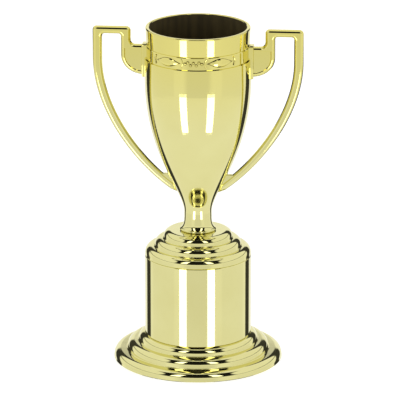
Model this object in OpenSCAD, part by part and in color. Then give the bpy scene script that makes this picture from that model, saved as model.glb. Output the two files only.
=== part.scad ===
// Two-handled presentation cup on a round stepped pedestal.
// Moulded plastic pieces, clamped in one stack by a threaded rod.
// +Z is up, the two handles lie along X, the front faces -Y, and the origin is the centre of the
// felt face that the trophy stands on.

/* [Cup] */
// Height of the cup, from the face that stands on the pedestal to the rim
cup_h = 77.6; // [72:1:100]
// Outside diameter of the plain collar at the rim
collar_d = 38.5; // [34:0.5:46]
// How far the collar opens out from its lower edge to the rim, measured level
collar_flare = 0.15; // [0:0.05:0.2]
// Height of the plain collar
collar_h = 6.7; // [5:0.1:9]
// Height of the sunk band below the collar
band_h = 4.9; // [3.5:0.1:6.5]
// Depth of the sunk band
band_depth = 0.3; // [0.2:0.05:0.5]
// Largest diameter of the bowl, below the sunk band
bowl_d = 39.2; // [35:0.2:48]
// Distance from the rim down to where the bowl starts to taper
taper_drop = 19; // [16:0.5:24]
// Wall of the bowl, measured level
cup_wall = 1.6; // [1.2:0.1:2.2]
// Radius of the rim's two rounded edges
rim_round = 0.4; // [0.2:0.05:0.6]
// Diameter of the neck, the narrowest part of the stem
neck_d = 10.2; // [9.4:0.2:14]
// Height of the neck above the face that stands on the pedestal
neck_h = 7; // [5:0.5:10]
// Diameter of the round bead at the bottom of the stem
stem_bead_d = 13.4; // [12:0.2:18]
// Height of the bead at the bottom of the stem
stem_bead_h = 1; // [0.8:0.1:2]

/* [Handles] */
// Overall width across both handles
handle_span = 77.4; // [72:0.2:96]
// Thickness of a handle from front to back
handle_t = 2.8; // [2.4:0.1:4]
// Thickness of the flat webs from front to back
web_t = 2; // [1.4:0.1:2.4]
// Distance from the rim down to the top of the arch
arch_drop = 0.5; // [0.3:0.1:3]
// Width of the arch, outside to outside
arch_w = 14; // [11:0.1:15]
// Height of the arch's top bar
arch_bar_h = 2.9; // [1.6:0.1:3.6]
// Width of the leg nearer the cup
inner_leg_w = 3.6; // [2:0.1:4]
// Width of the outer leg, where the curved limb starts
limb_top_w = 3.5; // [2.4:0.1:4]
// Width of the curved limb at its lower end
limb_end_w = 3; // [2:0.1:3.6]
// Distance from the rim down to the shelf beside the cup
shelf_drop = 7.1; // [6:0.1:9]
// Small slope where the shelf meets the leg
shelf_gusset = 1.7; // [0.8:0.1:2.4]
// Distance from the rim down to the bottom of the upper web
web_drop = 18.6; // [17:0.1:22]
// Width of the raised border round the upper web
web_border = 1.6; // [1:0.1:2.2]
// Height of the limb's lower end above the stem's seat
limb_end_h = 16.6; // [14:0.2:22]

/* [Handle fixings] */
// Width of the mounting pad that beds on the cup, from front to back
pad_w = 5.4; // [4.4:0.2:8]
// Thickness of the mounting pad
pad_t = 0.9; // [0.6:0.1:1.4]
// Diameter of the upper peg, which goes through the cup wall
peg_d = 2.6; // [2:0.1:3.2]
// Distance from the rim down to the upper peg
peg_drop = 13.5; // [12.8:0.1:15]
// Length of the upper peg that stands inside the cup
peg_stub = 1.6; // [1:0.1:2.5]
// Diameter of the lower peg, which sits in a blind socket
low_peg_d = 2; // [1.6:0.1:2.4]
// Depth that the lower peg enters the cup wall
low_peg_in = 1.1; // [0.6:0.1:1.2]
// Diameter of a push-on nut
push_nut_d = 5.6; // [5:0.1:7]
// Thickness of a push-on nut
push_nut_t = 0.4; // [0.3:0.05:0.6]

/* [Pedestal] */
// Diameters of the shoulder's three rings, from the bottom up
shoulder_d = [39.4, 32.4, 25.8]; // [18:0.2:48]
// Heights of the shoulder's three rings, from the bottom up
shoulder_ring_h = [3.5, 3, 3]; // [2.9:0.1:5]
// Height of the column
column_h = 30.1; // [20:0.2:60]
// Wall of the column
column_wall = 1.4; // [1:0.1:2]
// Diameters of the foot's three rings, from the bottom up
foot_d = [62.6, 52.6, 44.4]; // [40:0.2:76]
// Heights of the foot's three rings, from the bottom up
foot_ring_h = [3.4, 3.3, 2.9]; // [2.9:0.1:5]
// Radius of each ring's rounded top edge
ring_round = 2.5; // [1:0.1:2.6]
// Radius of the hollow corner at the foot of each ring
ring_fillet = 0.3; // [0.1:0.1:0.3]
// Wall of the shoulder and the foot
shell_wall = 1.5; // [1.2:0.1:2]
// Length of the spigots that locate the column
spigot_h = 3; // [2:0.5:5]
// Wall of the spigots that locate the column
spigot_wall = 1.7; // [1:0.1:2.2]
// Length of the stem's spigot
stem_spigot_h = 1.6; // [1:0.1:2]
// Diameter of the stem's spigot
stem_spigot_d = 8.6; // [8:0.2:9.6]

/* [Stack hardware] */
// Diameter of the threaded rod
rod_d = 4; // [3:0.5:4]
// Diameter of the threaded insert
insert_d = 5.8; // [5.4:0.1:6.4]
// Length of the threaded insert
insert_len = 7; // [5:0.5:8]
// Height of the weight
weight_h = 10; // [4:1:16]
// Diameter of the wide clamp washer
washer_d = 18; // [14:1:24]
// Thickness of the wide clamp washer
washer_t = 1; // [0.6:0.1:1.2]
// Diameter of the spring washer
lock_d = 7.6; // [7:0.1:8.6]
// Thickness of the spring washer
lock_t = 0.9; // [0.6:0.1:1]
// Width of the nut across its flats
nut_af = 7; // [6:0.5:8]
// Height of the nut
nut_h = 3.2; // [2.4:0.1:3.2]
// Thickness of the hardboard disc
cover_t = 0.8; // [0.6:0.1:1]
// Thickness of the felt
felt_t = 1; // [0.8:0.1:1.5]
// Height that the felt stands proud of the foot
felt_proud = 0.2; // [0.1:0.1:0.5]

/* [Clearances] */
// Gap all round between a spigot and what it locates
spigot_clear = 0.1; // [0.05:0.05:0.2]
// Gap all round between the weight and the spigot that rings it
weight_clear = 1.5; // [0.5:0.1:4]
// Gap all round between a thread and its nut or insert
thread_clear = 0.05; // [0.02:0.01:0.1]
// Gap all round between the rod and what it passes through
rod_clear = 0.25; // [0.15:0.05:0.5]
// Gap all round between a peg and its hole
peg_clear = 0.05; // [0.02:0.01:0.1]
// Gap all round the felt and the hardboard disc
disc_clear = 0.2; // [0.1:0.05:0.4]

/* [Hidden] */
$fn = 96;
gold = "#dfd88a";
through = 1;          // extra length of a cut, so that it leaves its piece cleanly
curve_steps = 26;     // straight stretches in each free curve
round_steps = 7;      // straight stretches in each rounded edge

// heights, from the table up
foot_bottom = felt_proud;
// heights of the table side and of the top of each ring in a stack
function ring_levels(z, h) = [z, z + h[0], z + h[0] + h[1], z + h[0] + h[1] + h[2]];
foot_levels = ring_levels(foot_bottom, foot_ring_h);
column_z = foot_levels[3];
shoulder_z = column_z + column_h;
shoulder_levels = ring_levels(shoulder_z, shoulder_ring_h);
seat_z = shoulder_levels[3];
rim_z = seat_z + cup_h;
neck_z = seat_z + neck_h;
taper_z = rim_z - taper_drop;
collar_z = rim_z - collar_h;
band_z = collar_z - band_h;

// the bowl's free curve leaves the wide part and reaches the neck upright at both ends
taper_h = taper_z - neck_z;
bowl_fullness = 0.575;  // how far down the wide part stays full, as a share of the taper
neck_reach = 0.155;     // how far up the neck stays slim, as a share of the taper
flare_reach = 0.55;     // how far down the neck stays slim before the stem flares
cup_floor_r = 5;        // radius of the hollow where its rounded floor starts
cup_floor_h = 2.4;      // depth of the rounded floor
bead_reach = 1.6;       // how far inside the bead the flare starts to turn upright
bead_rise = 0.8;        // height of that point, as a share of the flare
insert_room = 0.8;      // depth of the stem's bore past the insert
mouth_taper = 0.2;      // how much thinner the wall is at the plain collar
overlap = 0.5;          // how far two shapes of one moulding run into each other

// the handle's free curve, seen from the front
arch_top = rim_z - arch_drop;
limb_mid_x = handle_span / 2 - limb_top_w / 2;
limb_top_z = rim_z - 13;   // where the outer leg stops being upright
limb_fall = 18;         // how far the limb's curve keeps falling before it turns in
limb_belly = 0.64;      // how far out the limb's belly stays, as a share of its widest
limb_belly_h = 10.5;    // height of that belly above the limb's lower end
limb_end_out = 0.7;     // distance of the limb's middle from the cup at its lower end
limb_end_in = 1.5;      // how far the limb's tip runs into the cup before it is cut back
limb_end_drop = 2;      // how far the limb's tip hangs below its middle
limb_end_z = seat_z + limb_end_h;
leg_x = handle_span / 2 - arch_w;
shelf_z = rim_z - shelf_drop;
web_z = rim_z - web_drop;
peg_z = rim_z - peg_drop;
web_straight = 4.2;     // height of the upright part of the web's outer edge
web_shoulder = 0.4;     // how far out from the bowl the web's curve ends
corner_web_h = 4.8;     // height of the small web in the corner of the limb
corner_web_w = 3.4;     // width of that web along its top
corner_web_low = 2;     // width of that web along its bottom
low_peg_rise = 1.2;     // height of the lower peg above the limb's lower end
low_peg_root = 1.6;     // length of the lower peg inside the limb
pad_lip = 0.3;          // how far the mounting pad shows past the web

function bezier(p, t) = pow(1 - t, 3) * p[0] + 3 * pow(1 - t, 2) * t * p[1]
                      + 3 * (1 - t) * t * t * p[2] + t * t * t * p[3];
function slope(p, t) = 3 * pow(1 - t, 2) * (p[1] - p[0]) + 6 * (1 - t) * t * (p[2] - p[1])
                     + 3 * t * t * (p[3] - p[2]);
function curve(p, n = curve_steps) = [for (i = [0:n]) bezier(p, i / n)];
// points beside a curve, at a distance that changes evenly from one end to the other
function beside(p, d0, d1, n = curve_steps) =
    [for (i = [0:n]) let (s = slope(p, i / n), d = d0 + (d1 - d0) * i / n)
     bezier(p, i / n) + d * [s.y, -s.x] / norm(s)];
function reversed(list) = [for (i = [len(list) - 1:-1:0]) list[i]];
// a quarter of an ellipse round a centre, from one angle to another
function quarter(centre, rx, rz, from, to, n = round_steps) =
    [for (i = [0:n]) let (a = from + (to - from) * i / n) centre + [rx * cos(a), rz * sin(a)]];

// outlines of the bowl as [radius, height] points, from the top down
bowl_taper = curve([[bowl_d / 2, taper_z], [bowl_d / 2, taper_z - bowl_fullness * taper_h],
                    [neck_d / 2, neck_z + neck_reach * taper_h], [neck_d / 2, neck_z]]);
flare_h = neck_h - stem_bead_h;
stem_flare = curve([[neck_d / 2, neck_z], [neck_d / 2, neck_z - flare_reach * flare_h],
                    [stem_bead_d / 2 - bead_reach, neck_z - bead_rise * flare_h],
                    [stem_bead_d / 2 - stem_bead_h / 2, seat_z + stem_bead_h]], 10);
taper_table = [for (p = reversed(bowl_taper)) [p.y, p.x]];
function bowl_r(z) = z > taper_z ? bowl_d / 2 : lookup(z, taper_table);
mouth_r = collar_d / 2 - cup_wall + mouth_taper;
mouth_wall = bowl_d / 2 - mouth_r;

module turned(points) rotate_extrude($fn = 128) polygon(points);

// outline of stepped rings, from the bottom up: a hollow corner, an upright edge and a
// rounded top edge, then a level ledge that runs in to the next ring
function ring_stack(d, levels) =
    [for (i = [0:2]) let (
        r = d[i] / 2,
        foot = i == 0 ? [[r, levels[0]]]
             : quarter([r + ring_fillet, levels[i] + ring_fillet], ring_fillet, ring_fillet, 270, 180, 5),
        top = quarter([r - ring_round, levels[i + 1] - ring_round], ring_round, ring_round, 0, 90))
     each concat(foot, top)];

// the bowl's outside as a solid of revolution, which the handles are cut back to
module bowl_outside() {
    turned(concat(
        [[0, rim_z]],
        quarter([collar_d / 2 - rim_round, rim_z - rim_round], rim_round, rim_round, 90, 0, 4),
        [[collar_d / 2 - collar_flare, collar_z], [collar_d / 2 - band_depth, collar_z - 0.1],
         [collar_d / 2 - band_depth, band_z + 0.1], [bowl_d / 2, band_z]],
        bowl_taper,
        [for (i = [1:10]) stem_flare[i]],
        quarter([stem_bead_d / 2 - stem_bead_h / 2, seat_z + stem_bead_h / 2],
                stem_bead_h / 2, stem_bead_h / 2, 90, -90, 8),
        [[0, seat_z]]));
}

// the hollow of the cup, down to its rounded floor
module cup_hollow() {
    inner = [for (p = bowl_taper) if (p.x - mouth_wall > cup_floor_r) [p.x - mouth_wall, p.y]];
    last = inner[len(inner) - 1];
    turned(concat(
        [[0, rim_z + through], [mouth_r + rim_round, rim_z + through]],
        quarter([mouth_r + rim_round, rim_z - rim_round], -rim_round, rim_round, 90, 0, 4),
        inner,
        quarter([0, last.y], last.x, -cup_floor_h, 8, 90, 8)));
}

module bowl() color(gold) difference() {
    union() {
        bowl_outside();
        translate([0, 0, seat_z - stem_spigot_h]) cylinder(d = stem_spigot_d, h = stem_spigot_h + overlap);
    }
    cup_hollow();
    translate([0, 0, seat_z - stem_spigot_h - through])
        cylinder(d = insert_d, h = through + insert_len + insert_room);
    for (side = [-1, 1]) on_side(side) {
        translate([0, 0, peg_z]) rotate([0, 90, 0])
            cylinder(d = peg_d + 2 * peg_clear, h = bowl_d / 2 + through);
        low_peg(peg_clear);
    }
}

// turns a right-hand piece into the left-hand one
module on_side(side) { if (side < 0) mirror([1, 0, 0]) children(); else children(); }

// lower peg along X, from its tip in the cup wall to inside the limb's end
low_peg_z = limb_end_z + low_peg_rise;
module low_peg(clear) {
    tip = bowl_r(low_peg_z) - low_peg_in - clear;
    translate([tip, 0, low_peg_z]) rotate([0, 90, 0])
        cylinder(d = low_peg_d + 2 * clear, h = low_peg_in + low_peg_root);
}

limb_line = [[limb_mid_x, limb_top_z], [limb_mid_x, limb_top_z - limb_fall],
             [limb_belly * limb_mid_x, limb_end_z + limb_belly_h],
             [bowl_r(limb_end_z) + limb_end_out, limb_end_z]];

// the curved limb, with its two upright edges carried up to the arch
module limb_face() polygon(concat(
    [[handle_span / 2, arch_top - arch_bar_h]],
    beside(limb_line, -limb_top_w / 2, -limb_end_w / 2),
    [[bowl_r(limb_end_z) - limb_end_in, limb_end_z - limb_end_drop]],
    reversed(beside(limb_line, limb_top_w / 2, limb_end_w / 2)),
    [[handle_span / 2 - limb_top_w, arch_top - arch_bar_h]]));

// the D-shaped outline of the upper web
module web_face(inset) {
    out_x = leg_x + inner_leg_w - inset;
    curve_h = shelf_z - web_z - web_straight;
    polygon(concat(
        [[mouth_r, shelf_z], [out_x, shelf_z]],
        quarter([bowl_d / 2 + web_shoulder, web_z + inset + curve_h],
                out_x - bowl_d / 2 - web_shoulder, -curve_h, 0, 90, 12),
        [[mouth_r, web_z + inset]]));
}

// the frame of the handle: arch, leg, gusset and the border of the web
module frame_face() {
    limb_face();
    translate([leg_x, arch_top - arch_bar_h]) square([arch_w, arch_bar_h]);
    translate([leg_x, shelf_z - overlap]) square([inner_leg_w, arch_top - shelf_z]);
    polygon([[leg_x - shelf_gusset, shelf_z], [leg_x, shelf_z + shelf_gusset],
             [leg_x + overlap, shelf_z + shelf_gusset], [leg_x + overlap, shelf_z]]);
    difference() {
        web_face(0);
        difference() {
            web_face(web_border);
            translate([0, shelf_z]) square([bowl_d, through]);
        }
    }
}

// small web in the corner between the limb's end and the cup
module corner_web_face() {
    top = limb_end_z + corner_web_h;
    polygon([[bowl_r(top) - through, top], [bowl_r(top) + corner_web_w, top],
             [bowl_r(limb_end_z) + corner_web_low, limb_end_z],
             [bowl_r(limb_end_z) - through, limb_end_z]]);
}

// edge-on view of the pad that beds on the cup beside the upper web
module pad_face() translate([mouth_r, web_z - pad_lip])
    square([bowl_d / 2 + pad_t - mouth_r, shelf_z - web_z + 2 * pad_lip]);

module plate(t) rotate([90, 0, 0]) linear_extrude(height = t, center = true) children();

module handle() {
    difference() {
        union() {
            plate(handle_t) frame_face();
            plate(web_t) { web_face(0); corner_web_face(); }
            plate(pad_w) pad_face();
        }
        bowl_outside();
    }
    translate([mouth_r - peg_stub, 0, peg_z]) rotate([0, 90, 0])
        cylinder(d = peg_d, h = peg_stub + bowl_d / 2 - mouth_r + through);
    low_peg(0);
}

module right_handle() color(gold) handle();
module left_handle() color(gold) mirror([1, 0, 0]) handle();

// push-on nuts rest against the round wall inside the cup
push_nut_x = sqrt(pow(mouth_r, 2) - pow(push_nut_d / 2, 2));
nut_slot_w = 0.3;       // width of the slots between a push-on nut's teeth
nut_slot_reach = 0.95;  // reach of those slots from the middle, as a share of the peg
module handle_push_nuts() color("silver") for (side = [-1, 1]) on_side(side)
    translate([push_nut_x - push_nut_t, 0, peg_z]) rotate([0, 90, 0]) difference() {
        cylinder(d = push_nut_d, h = push_nut_t);
        translate([0, 0, -through]) cylinder(d = peg_d, h = push_nut_t + 2 * through);
        for (a = [0, 90]) rotate([0, 0, a])
            translate([-nut_slot_reach * peg_d, -nut_slot_w / 2, -through])
                cube([2 * nut_slot_reach * peg_d, nut_slot_w, push_nut_t + 2 * through]);
    }

insert_in = 0.2;        // how far the insert sits inside the end of the stem
insert_waist = 0.6;     // how much slimmer the insert is between its two knurled ends
knurl_share = 0.4;      // length of each knurled end, as a share of the insert
insert_z = seat_z - stem_spigot_h + insert_in;
module stem_insert() color("goldenrod") translate([0, 0, insert_z]) difference() {
    union() {
        cylinder(d = insert_d, h = knurl_share * insert_len);
        cylinder(d = insert_d - insert_waist, h = insert_len);
        translate([0, 0, (1 - knurl_share) * insert_len])
            cylinder(d = insert_d, h = knurl_share * insert_len);
    }
    translate([0, 0, -through])
        cylinder(d = rod_d + 2 * thread_clear, h = insert_len + 2 * through);
}

// undersides and thicknesses of the foot's floor and what hangs below it
floor_t = 1.8;          // thickness of the foot's floor
rod_past_nut = 0.5;     // how far the rod shows below the nut
rod_short = 0.6;        // how far the rod stops short of the insert's top
lock_slot_w = 0.6;      // width of the slit in the spring washer
lock_clear = 0.15;      // gap all round between the rod and the spring washer
nut_face = 0.95;        // diameter of the nut's flat face, as a share of its width
nut_chamfer = 0.4;      // height of the nut's chamfers
floor_z = column_z - floor_t;
washer_z = floor_z - washer_t;
lock_z = washer_z - lock_t;
nut_z = lock_z - nut_h;
rod_low = nut_z - rod_past_nut;
rod_top = insert_z + insert_len - rod_short;
rod_chamfer = 0.4;
rod_hole_d = rod_d + 2 * rod_clear;

module rod_hole(z, h) translate([0, 0, z - through]) cylinder(d = rod_hole_d, h = h + 2 * through);

module threaded_rod() color("silver") turned([
    [0, rod_low], [rod_d / 2 - rod_chamfer, rod_low], [rod_d / 2, rod_low + rod_chamfer],
    [rod_d / 2, rod_top - rod_chamfer], [rod_d / 2 - rod_chamfer, rod_top], [0, rod_top]]);

column_bore_d = shoulder_d[0] - 2 * column_wall;
spigot_d = column_bore_d - 2 * spigot_clear;
spigot_bore_d = spigot_d - 2 * spigot_wall;
weight_d = spigot_bore_d - 2 * weight_clear;

top_plate_t = stem_spigot_h + 1.2;   // the shoulder's top, under the stem
module shoulder() color(gold) difference() {
    union() {
        turned(concat([[0, shoulder_z]], ring_stack(shoulder_d, shoulder_levels), [[0, seat_z]]));
        translate([0, 0, shoulder_z - spigot_h]) cylinder(d = spigot_d, h = spigot_h + overlap);
    }
    cylinder_between(spigot_bore_d, shoulder_z - spigot_h - through, shoulder_levels[1] - shell_wall);
    cylinder_between(shoulder_d[1] - 2 * shell_wall, shoulder_z, shoulder_levels[2] - shell_wall);
    cylinder_between(shoulder_d[2] - 2 * shell_wall, shoulder_z, seat_z - top_plate_t);
    translate([0, 0, seat_z - stem_spigot_h - spigot_clear])
        cylinder(d = stem_spigot_d + 2 * spigot_clear, h = stem_spigot_h + through);
    rod_hole(shoulder_z, seat_z - shoulder_z);
}

// a plain cylinder from one height to another
module cylinder_between(d, low, high) translate([0, 0, low]) cylinder(d = d, h = high - low);

module column() color(gold) translate([0, 0, column_z]) difference() {
    cylinder(d = shoulder_d[0], h = column_h, $fn = 128);
    translate([0, 0, -through]) cylinder(d = column_bore_d, h = column_h + 2 * through, $fn = 128);
}

module weight() color("dimgray") translate([0, 0, column_z]) difference() {
    cylinder(d = weight_d, h = weight_h);
    translate([0, 0, -through]) cylinder(d = rod_hole_d, h = weight_h + 2 * through);
}

recess_z = felt_t + cover_t;
recess_d = foot_d[0] - 2 * shell_wall;
module foot() color(gold) difference() {
    union() {
        turned(concat([[0, foot_bottom]], ring_stack(foot_d, foot_levels), [[0, column_z]]));
        cylinder_between(spigot_d, floor_z, column_z + spigot_h);
    }
    cylinder_between(recess_d, foot_bottom - through, recess_z);
    cylinder_between(foot_d[1] - 2 * shell_wall, foot_bottom, foot_levels[2] - shell_wall);
    cylinder_between(foot_d[2] - 2 * shell_wall, foot_bottom, floor_z);
    cylinder_between(spigot_bore_d, column_z, column_z + spigot_h + through);
    rod_hole(floor_z, floor_t);
}

module clamp_washer() color("silver") translate([0, 0, washer_z]) difference() {
    cylinder(d = washer_d, h = washer_t);
    translate([0, 0, -through]) cylinder(d = rod_hole_d, h = washer_t + 2 * through);
}

module lock_washer() color("silver") translate([0, 0, lock_z]) difference() {
    cylinder(d = lock_d, h = lock_t);
    translate([0, 0, -through]) cylinder(d = rod_d + 2 * lock_clear, h = lock_t + 2 * through);
    rotate([0, 0, 30]) translate([0, -lock_slot_w / 2, -through])
        cube([lock_d, lock_slot_w, lock_t + 2 * through]);
}

module clamp_nut() color("silver") translate([0, 0, nut_z]) difference() {
    corner_d = nut_af / cos(30);
    intersection() {
        cylinder(d = corner_d, h = nut_h, $fn = 6);
        turned([[0, 0], [nut_face * nut_af / 2, 0], [corner_d / 2, nut_chamfer],
                [corner_d / 2, nut_h - nut_chamfer], [nut_face * nut_af / 2, nut_h], [0, nut_h]]);
    }
    translate([0, 0, -through]) cylinder(d = rod_d + 2 * thread_clear, h = nut_h + 2 * through);
}

module base_cover() color("sienna")
    cylinder_between(recess_d - 2 * disc_clear, felt_t, felt_t + cover_t);

module felt_pad() color("darkolivegreen")
    cylinder_between(recess_d - 2 * disc_clear, 0, felt_t);

bowl();
left_handle();
right_handle();
handle_push_nuts();
stem_insert();
threaded_rod();
shoulder();
column();
weight();
foot();
clamp_washer();
lock_washer();
clamp_nut();
base_cover();
felt_pad();
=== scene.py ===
# %% [markdown]
# # A gold presentation cup with two handles
#
# The real object is a small award cup. Its cup, handles and pedestal are moulded in plastic and
# plated with a very thin layer of metal in a vacuum, under a clear amber lacquer. That gives a
# pale, slightly green gold that mirrors the room. The pieces are clamped on one threaded rod.
#
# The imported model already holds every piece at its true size. This lesson keeps the hidden
# hardware as it is and gives it real finishes, and it models the seen pieces again with finer
# edges, because a mirror finish shows every facet of a coarse mesh.

# %% The frame
import math
import bpy
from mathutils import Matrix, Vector


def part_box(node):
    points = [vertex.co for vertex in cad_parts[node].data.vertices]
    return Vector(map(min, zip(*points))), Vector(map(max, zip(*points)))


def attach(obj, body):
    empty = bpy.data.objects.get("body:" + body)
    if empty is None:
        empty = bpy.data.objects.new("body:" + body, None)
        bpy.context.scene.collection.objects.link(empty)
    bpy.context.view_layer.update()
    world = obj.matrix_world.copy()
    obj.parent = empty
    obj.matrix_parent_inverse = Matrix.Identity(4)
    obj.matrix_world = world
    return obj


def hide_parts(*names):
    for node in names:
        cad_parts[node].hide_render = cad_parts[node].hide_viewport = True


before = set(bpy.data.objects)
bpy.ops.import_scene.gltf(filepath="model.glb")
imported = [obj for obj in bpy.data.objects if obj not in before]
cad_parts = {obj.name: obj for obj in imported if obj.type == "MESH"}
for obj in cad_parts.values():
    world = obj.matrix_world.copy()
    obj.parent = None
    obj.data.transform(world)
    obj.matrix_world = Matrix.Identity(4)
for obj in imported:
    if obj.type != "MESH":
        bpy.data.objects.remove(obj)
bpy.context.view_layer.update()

MM = 0.001
print("pieces in the frame:", sorted(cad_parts))

# %% [markdown]
# ## Helpers for modelling
#
# Blender's operators act on whatever is selected and active, so each helper starts by selecting
# only what it needs. Sizes are written in millimetres, as on a drawing, and MM turns them into
# the scene's metres.

# %% Selecting and applying


def only(piece):
    """Makes a piece the only selected one, and the active one."""
    if bpy.context.mode != "OBJECT":
        bpy.ops.object.mode_set(mode="OBJECT")
    bpy.ops.object.select_all(action="DESELECT")
    piece.select_set(True)
    bpy.context.view_layer.objects.active = piece


def apply_place(piece):
    """Puts a piece's place, turn and size into its mesh, and leaves its object at the origin."""
    only(piece)
    bpy.ops.object.transform_apply(location=True, rotation=True, scale=True)


def modify(piece, kind, **settings):
    """Adds one modifier and applies it."""
    only(piece)
    modifier = piece.modifiers.new(kind.title(), kind)
    for key, value in settings.items():
        setattr(modifier, key, value)
    bpy.ops.object.modifier_apply(modifier=modifier.name)


def carve(piece, tool, operation="DIFFERENCE"):
    """Cuts a tool out of a piece, or joins the tool to it with UNION, and removes the tool."""
    modify(piece, "BOOLEAN", object=tool, operation=operation, solver="EXACT")
    bpy.data.objects.remove(tool)


def clean(piece, gap=0.001):
    """Merges doubled points and turns every face outwards."""
    only(piece)
    bpy.ops.object.mode_set(mode="EDIT")
    bpy.ops.mesh.select_all(action="SELECT")
    bpy.ops.mesh.remove_doubles(threshold=gap * MM)
    bpy.ops.mesh.dissolve_degenerate(threshold=gap * MM)
    bpy.ops.mesh.normals_make_consistent(inside=False)
    bpy.ops.object.mode_set(mode="OBJECT")


def copy_of(piece, name):
    """A copy with a mesh of its own."""
    only(piece)
    bpy.ops.object.duplicate(linked=False)
    twin = bpy.context.active_object
    twin.name = twin.data.name = name
    return twin


def report(piece):
    """Prints a piece's size, and how many of its edges don't join exactly two faces."""
    edges = {}
    for face in piece.data.polygons:
        for key in face.edge_keys:
            edges[key] = edges.get(key, 0) + 1
    loose = sum(1 for count in edges.values() if count != 2)
    size = ", ".join(f"{side / MM:.2f}" for side in piece.dimensions)
    print(f"{piece.name}: {size} mm, {len(piece.data.polygons)} faces, {loose} open edges")


# %% [markdown]
# ## Drawing a line and spinning it
#
# A turned or round moulded piece is one outline swept round an axis. By hand that is a single
# point extruded along the outline, then spun. A lathe would do the same with a cutting tool.
# Long straight runs get an extra point near each end: smooth shading then stays flat across a
# ledge and bends only at its rounded edges.

# %% Line, spin and fill


def draw(name, places):
    """A mesh of one line of points. It starts as a plane merged to one point, then extruded."""
    if bpy.context.mode != "OBJECT":
        bpy.ops.object.mode_set(mode="OBJECT")
    bpy.ops.object.select_all(action="DESELECT")
    bpy.ops.mesh.primitive_plane_add(size=MM, location=(0, 0, 0))
    piece = bpy.context.active_object
    piece.name = piece.data.name = name
    places = [Vector(p) * MM for p in places]
    bpy.ops.object.mode_set(mode="EDIT")
    bpy.ops.mesh.select_mode(type="VERT")
    bpy.ops.mesh.select_all(action="SELECT")
    bpy.ops.mesh.merge(type="CENTER")
    bpy.ops.transform.translate(value=places[0])
    for start, end in zip(places, places[1:]):
        bpy.ops.mesh.extrude_vertices_move(TRANSFORM_OT_translate={"value": end - start})
    bpy.ops.mesh.select_all(action="SELECT")
    return piece


def supported(outline, near=0.1):
    """Adds a point close to each end of every long straight run."""
    points = [outline[0]]
    for (r0, z0), (r1, z1) in zip(outline, outline[1:]):
        run = math.dist((r0, z0), (r1, z1))
        if run > 6 * near:
            for share in (near / run, 1 - near / run):
                points.append((r0 + (r1 - r0) * share, z0 + (z1 - z0) * share))
        points.append((r1, z1))
    return points


def turned(name, outline, steps=144):
    """Spins an outline of (radius, height) points round the upright axis."""
    piece = draw(name, [(r, 0, z) for r, z in supported(outline)])
    bpy.ops.mesh.spin(steps=steps, angle=2 * math.pi, center=(0, 0, 0), axis=(0, 0, 1))
    bpy.ops.object.mode_set(mode="OBJECT")
    clean(piece)
    return piece


def bezier(points, steps):
    """Points on a cubic curve."""
    p0, p1, p2, p3 = [Vector(p) for p in points]
    found = []
    for i in range(steps + 1):
        t = i / steps
        s = 1 - t
        found.append(s ** 3 * p0 + 3 * s * s * t * p1 + 3 * s * t * t * p2 + t ** 3 * p3)
    return [tuple(p) for p in found]


def arc(centre, rx, rz, start, end, steps=8):
    """Points on part of an ellipse, from one angle to another in degrees."""
    found = []
    for i in range(steps + 1):
        angle = math.radians(start + (end - start) * i / steps)
        found.append((centre[0] + rx * math.cos(angle), centre[1] + rz * math.sin(angle)))
    return found


# %% [markdown]
# ## Sizes
#
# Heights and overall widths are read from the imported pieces. The sizes inside a piece, such as
# the steps of the rings, repeat the ones on the drawing.

# %% Sizes taken from the frame


def box_mm(node):
    """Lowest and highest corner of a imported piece, in millimetres."""
    return [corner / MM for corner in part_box(node)]


column_low, column_high = [corner.z for corner in box_mm("column")]
seat_z = box_mm("shoulder")[1].z
rim_z = box_mm("bowl")[1].z
bowl_r = box_mm("bowl")[1].x
column_r = box_mm("column")[1].x
foot_r = box_mm("foot")[1].x
foot_low = box_mm("foot")[0].z
handle_x = box_mm("right_handle")[1].x
arch_top = box_mm("right_handle")[1].z
felt_low, felt_high = [corner.z for corner in box_mm("felt_pad")]
felt_r = box_mm("felt_pad")[1].x
print(f"seat {seat_z:.1f}, rim {rim_z:.1f}, arch {arch_top:.1f}, across {2 * handle_x:.1f} mm")

# %% [markdown]
# ## Camera and studio
#
# The cup is looked at from a little above, almost straight on, with a long lens that keeps its
# sides nearly parallel. A mirror finish is made by what it reflects, so the studio matters as
# much as the metal. Pale light from nearly every side gives the broad pale gold. A dark area high
# in front, a thin dark gap just over the table and a dark ring behind draw the black outlines.
# Two bright stripes high in front and two narrow strip lights lower down give the white stripes.
# All of it could be lights placed one by one. A studio painted on the world is simpler to adjust,
# because each part is then just a range of directions. Only the two low strips are real lights.

# %% Camera
CAMERA_TURN, CAMERA_RISE = math.radians(5), math.radians(17.3)
CAMERA_FAR, LENS, SENSOR = 1.563, 380.7, 36
LOOK_BELOW_MIDDLE, LOOK_ASIDE = 2.86, 0.74
look_at_z = (rim_z / 2 - LOOK_BELOW_MIDDLE) * MM
aside = LOOK_ASIDE * MM

back = Vector((math.sin(CAMERA_TURN) * math.cos(CAMERA_RISE),
               -math.cos(CAMERA_TURN) * math.cos(CAMERA_RISE), math.sin(CAMERA_RISE)))
right = Vector((math.cos(CAMERA_TURN), math.sin(CAMERA_TURN), 0))
camera = bpy.data.objects.new("camera", bpy.data.cameras.new("camera"))
bpy.context.scene.collection.objects.link(camera)
camera.data.lens, camera.data.sensor_width = LENS, SENSOR
camera.data.clip_start, camera.data.clip_end = 0.05, 50
camera.location = Vector((0, 0, look_at_z)) + right * aside + back * CAMERA_FAR
camera.rotation_euler = back.to_track_quat("Z", "Y").to_euler()
bpy.context.scene.camera = camera
bpy.context.scene.view_settings.view_transform = "Standard"
print("camera at", [round(c, 3) for c in camera.location])

# %% [markdown]
# ## A helper for nodes
#
# Every finish below is a small network of nodes. One function adds a node, sets what it should
# be, and joins its inputs. Another turns a colour as printed on a chart into the linear numbers
# that a renderer works in.

# %% Nodes and colours


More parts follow.
